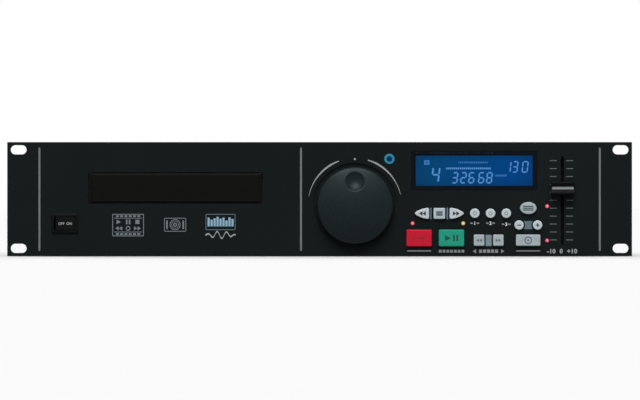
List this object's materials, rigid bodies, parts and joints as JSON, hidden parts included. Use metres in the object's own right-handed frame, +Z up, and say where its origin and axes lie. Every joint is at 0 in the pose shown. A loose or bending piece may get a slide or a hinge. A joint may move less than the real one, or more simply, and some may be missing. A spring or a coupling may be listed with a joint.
{
  "type": "rack-mount disc player",
  "caption": "Rack-mount disc player for a DJ, with a motor disc tray, jog wheel, blue display, transport and cue buttons, and a pitch fader.",
  "frame": {"origin": "centre of the four rack slots, on the back face of the front panel, where it seats on the rack", "axes": "+X to the right as the user sees the front, +Y into the case, +Z up; the user stands at -Y"},
  "size_m": [0.4826, 0.2595, 0.0885],
  "materials": {
    "panel_black": "satin black anodised aluminium",
    "sheet_black": "fine-textured black powder coat on steel sheet",
    "foot_rubber": "matt black moulded rubber",
    "screw_steel": "black zinc-plated steel",
    "loader_plastic": "matt black moulded plastic",
    "zinc_sheet": "zinc-plated steel sheet",
    "clamper_plastic": "matt black moulded plastic",
    "tray_plastic": "matt black moulded plastic with a fine grain",
    "tray_front": "satin black moulded plastic",
    "gear_plastic": "natural white acetal",
    "pulley_plastic": "off-white acetal",
    "motor_pulley_mix": "brass pulley on a steel shaft",
    "belt_rubber": "soft black rubber",
    "motor_steel": "drawn steel can",
    "cam_plastic": "natural white acetal",
    "lift_plastic": "matt black moulded plastic",
    "chassis_zinc": "zinc-plated steel plate",
    "damper_rubber": "soft dark grey rubber",
    "hub_plastic": "matt black plastic with a soft ring",
    "rod_steel": "ground steel rod",
    "sled_plastic": "matt black filled plastic",
    "lens_glass": "coated moulded lens in a clear barrel",
    "jog_plastic": "satin black moulded plastic, slightly soft",
    "shaft_steel": "ground steel",
    "encoder_body": "steel frame with a brass bushing",
    "switch_plastic": "gloss black moulded plastic",
    "rocker_plastic": "gloss black moulded plastic",
    "display_frame": "gloss black moulded plastic",
    "display_glass": "blue back-lit liquid-crystal glass",
    "lamp_lens": "tinted epoxy lamp lens",
    "ring_clear": "pale blue lit ring",
    "eject_plastic": "dark blue translucent plastic",
    "button_grey": "light grey satin plastic",
    "button_blue_grey": "blue-grey satin plastic",
    "button_red": "red satin plastic",
    "button_green": "green satin plastic",
    "fader_plastic": "matt black moulded plastic",
    "lever_steel": "steel blade in a plastic slider",
    "potentiometer_steel": "folded steel housing",
    "board_green": "green solder mask on glass-fibre board",
    "core_steel": "varnished laminated steel core with a taped coil",
    "inlet_plastic": "matt black thermoset",
    "socket_mix": "nickel-plated sleeves"
  },
  "bodies": {
    "case": {"front_panel": "panel_black", "chassis_base": "sheet_black", "top_cover": "sheet_black", "feet": "foot_rubber", "m3_screws": "screw_steel", "loader_frame": "loader_plastic", "loader_brackets": "zinc_sheet", "clamp_bridge": "zinc_sheet", "drive_belt": "belt_rubber", "loading_motor": "motor_steel", "jog_encoder": "encoder_body", "power_switch_body": "switch_plastic", "display_bezel": "display_frame", "lcd_module": "display_glass", "status_lamps": "lamp_lens", "eject_ring": "ring_clear", "slide_potentiometer": "potentiometer_steel", "control_board": "board_green", "main_board": "board_green", "transformer": "core_steel", "mains_inlet": "inlet_plastic", "audio_sockets": "socket_mix"},
    "tray": {"disc_tray": "tray_plastic", "tray_bezel": "tray_front"},
    "tray_gear": {"tray_gear": "gear_plastic"},
    "loading_pulley": {"loading_pulley": "pulley_plastic"},
    "motor_pulley": {"motor_pulley": "motor_pulley_mix"},
    "clamper": {"clamper": "clamper_plastic"},
    "cam": {"cam_slider": "cam_plastic"},
    "traverse": {"lift_frame": "lift_plastic", "pickup_chassis": "chassis_zinc", "damper_bushes": "damper_rubber", "spindle_motor": "motor_steel", "sled_rods": "rod_steel", "sled_motor": "motor_steel"},
    "hub": {"disc_hub": "hub_plastic"},
    "sled": {"pickup_sled": "sled_plastic"},
    "lens": {"objective_lens": "lens_glass"},
    "sled_gear": {"sled_gear": "gear_plastic"},
    "sled_pinion": {"sled_pinion": "motor_pulley_mix"},
    "jog": {"jog_wheel": "jog_plastic", "jog_shaft": "shaft_steel"},
    "rocker": {"power_rocker": "rocker_plastic"},
    "fader": {"fader_cap": "fader_plastic", "fader_lever": "lever_steel"},
    "eject_button": {"eject_button": "eject_plastic"},
    "skip_back_button": {"skip_back_button": "button_grey"},
    "stop_button": {"stop_button": "button_blue_grey"},
    "skip_forward_button": {"skip_forward_button": "button_grey"},
    "mode_button_1": {"mode_button_1": "button_grey"},
    "mode_button_2": {"mode_button_2": "button_grey"},
    "mode_button_3": {"mode_button_3": "button_grey"},
    "menu_button": {"menu_button": "button_grey"},
    "bend_minus_button": {"bend_minus_button": "button_grey"},
    "bend_plus_button": {"bend_plus_button": "button_grey"},
    "cue_button": {"cue_button": "button_red"},
    "play_button": {"play_button": "button_green"},
    "search_back_button": {"search_back_button": "button_grey"},
    "search_forward_button": {"search_forward_button": "button_grey"},
    "pitch_button": {"pitch_button": "button_grey"}
  },
  "joints": [
    {"name": "tray_slide", "type": "slide", "parent": "case", "child": "tray", "axis": [0, -1, 0], "range_m": [0, 0.138]},
    {"name": "tray_gear_spin", "type": "hinge", "parent": "case", "child": "tray_gear", "pos_m": [-0.1512, 0.022, 0], "axis": [0, 0, 1], "range_deg": [0, 791]},
    {"name": "loading_pulley_spin", "type": "hinge", "parent": "case", "child": "loading_pulley", "pos_m": [-0.1304, 0.022, 0], "axis": [0, 0, 1], "range_deg": [-2636, 0]},
    {"name": "motor_pulley_spin", "type": "hinge", "parent": "case", "child": "motor_pulley", "pos_m": [-0.0932, 0.022, 0], "axis": [0, 0, 1], "range_deg": [-6438, 0]},
    {"name": "clamper_spin", "type": "hinge", "parent": "case", "child": "clamper", "pos_m": [-0.1112, 0.072, 0.014], "axis": [0, 0, 1], "continuous": true},
    {"name": "traverse_tilt", "type": "hinge", "parent": "case", "child": "traverse", "pos_m": [-0.1112, 0.165, -0.007], "axis": [1, 0, 0], "range_deg": [0, 3.5]},
    {"name": "cam_slide", "type": "slide", "parent": "case", "child": "cam", "axis": [1, 0, 0], "range_m": [0, 0.0121]},
    {"name": "hub_spin", "type": "hinge", "parent": "traverse", "child": "hub", "pos_m": [-0.1112, 0.072, 0], "axis": [0, 0, 1], "continuous": true},
    {"name": "sled_slide", "type": "slide", "parent": "traverse", "child": "sled", "axis": [0, 1, 0], "range_m": [0, 0.034]},
    {"name": "sled_gear_spin", "type": "hinge", "parent": "traverse", "child": "sled_gear", "pos_m": [-0.148, 0.123, 0], "axis": [0, 0, 1], "range_deg": [0, 406]},
    {"name": "sled_pinion_spin", "type": "hinge", "parent": "traverse", "child": "sled_pinion", "pos_m": [-0.148, 0.135, 0], "axis": [0, 0, 1], "range_deg": [-1218, 0]},
    {"name": "lens_focus", "type": "slide", "parent": "sled", "child": "lens", "axis": [0, 0, 1], "range_m": [-0.0004, 0.0004], "stiffness_N_per_m": 60},
    {"name": "jog_spin", "type": "hinge", "parent": "case", "child": "jog", "pos_m": [0.0272, 0, -0.0047], "axis": [0, 1, 0], "continuous": true},
    {"name": "rocker_tilt", "type": "hinge", "parent": "case", "child": "rocker", "pos_m": [-0.1968, -0.002, -0.0186], "axis": [0, 0, 1], "range_deg": [-16, 0]},
    {"name": "fader_slide", "type": "slide", "parent": "case", "child": "fader", "axis": [0, 0, 1], "range_m": [-0.04, 0.02]},
    {"name": "eject_press", "type": "slide", "parent": "case", "child": "eject_button", "axis": [0, 1, 0], "range_m": [0, 0.001], "stiffness_N_per_m": 600},
    {"name": "skip_back_press", "type": "slide", "parent": "case", "child": "skip_back_button", "axis": [0, 1, 0], "range_m": [0, 0.001], "stiffness_N_per_m": 600},
    {"name": "stop_press", "type": "slide", "parent": "case", "child": "stop_button", "axis": [0, 1, 0], "range_m": [0, 0.001], "stiffness_N_per_m": 600},
    {"name": "skip_forward_press", "type": "slide", "parent": "case", "child": "skip_forward_button", "axis": [0, 1, 0], "range_m": [0, 0.001], "stiffness_N_per_m": 600},
    {"name": "mode_button_1_press", "type": "slide", "parent": "case", "child": "mode_button_1", "axis": [0, 1, 0], "range_m": [0, 0.001], "stiffness_N_per_m": 600},
    {"name": "mode_button_2_press", "type": "slide", "parent": "case", "child": "mode_button_2", "axis": [0, 1, 0], "range_m": [0, 0.001], "stiffness_N_per_m": 600},
    {"name": "mode_button_3_press", "type": "slide", "parent": "case", "child": "mode_button_3", "axis": [0, 1, 0], "range_m": [0, 0.001], "stiffness_N_per_m": 600},
    {"name": "menu_press", "type": "slide", "parent": "case", "child": "menu_button", "axis": [0, 1, 0], "range_m": [0, 0.001], "stiffness_N_per_m": 600},
    {"name": "bend_minus_press", "type": "slide", "parent": "case", "child": "bend_minus_button", "axis": [0, 1, 0], "range_m": [0, 0.001], "stiffness_N_per_m": 600},
    {"name": "bend_plus_press", "type": "slide", "parent": "case", "child": "bend_plus_button", "axis": [0, 1, 0], "range_m": [0, 0.001], "stiffness_N_per_m": 600},
    {"name": "cue_press", "type": "slide", "parent": "case", "child": "cue_button", "axis": [0, 1, 0], "range_m": [0, 0.001], "stiffness_N_per_m": 600},
    {"name": "play_press", "type": "slide", "parent": "case", "child": "play_button", "axis": [0, 1, 0], "range_m": [0, 0.001], "stiffness_N_per_m": 600},
    {"name": "search_back_press", "type": "slide", "parent": "case", "child": "search_back_button", "axis": [0, 1, 0], "range_m": [0, 0.001], "stiffness_N_per_m": 600},
    {"name": "search_forward_press", "type": "slide", "parent": "case", "child": "search_forward_button", "axis": [0, 1, 0], "range_m": [0, 0.001], "stiffness_N_per_m": 600},
    {"name": "pitch_press", "type": "slide", "parent": "case", "child": "pitch_button", "axis": [0, 1, 0], "range_m": [0, 0.001], "stiffness_N_per_m": 600}
  ],
  "couplings": [
    {"joint": "tray_gear_spin", "follows": "tray_slide", "rad_per_m": 100},
    {"joint": "loading_pulley_spin", "follows": "tray_slide", "rad_per_m": -333.33},
    {"joint": "motor_pulley_spin", "follows": "tray_slide", "rad_per_m": -814.1},
    {"joint": "cam_slide", "follows": "traverse_tilt", "m_per_rad": 0.19644},
    {"joint": "sled_gear_spin", "follows": "sled_slide", "rad_per_m": 208.33},
    {"joint": "sled_pinion_spin", "follows": "sled_slide", "rad_per_m": -625}
  ]
}
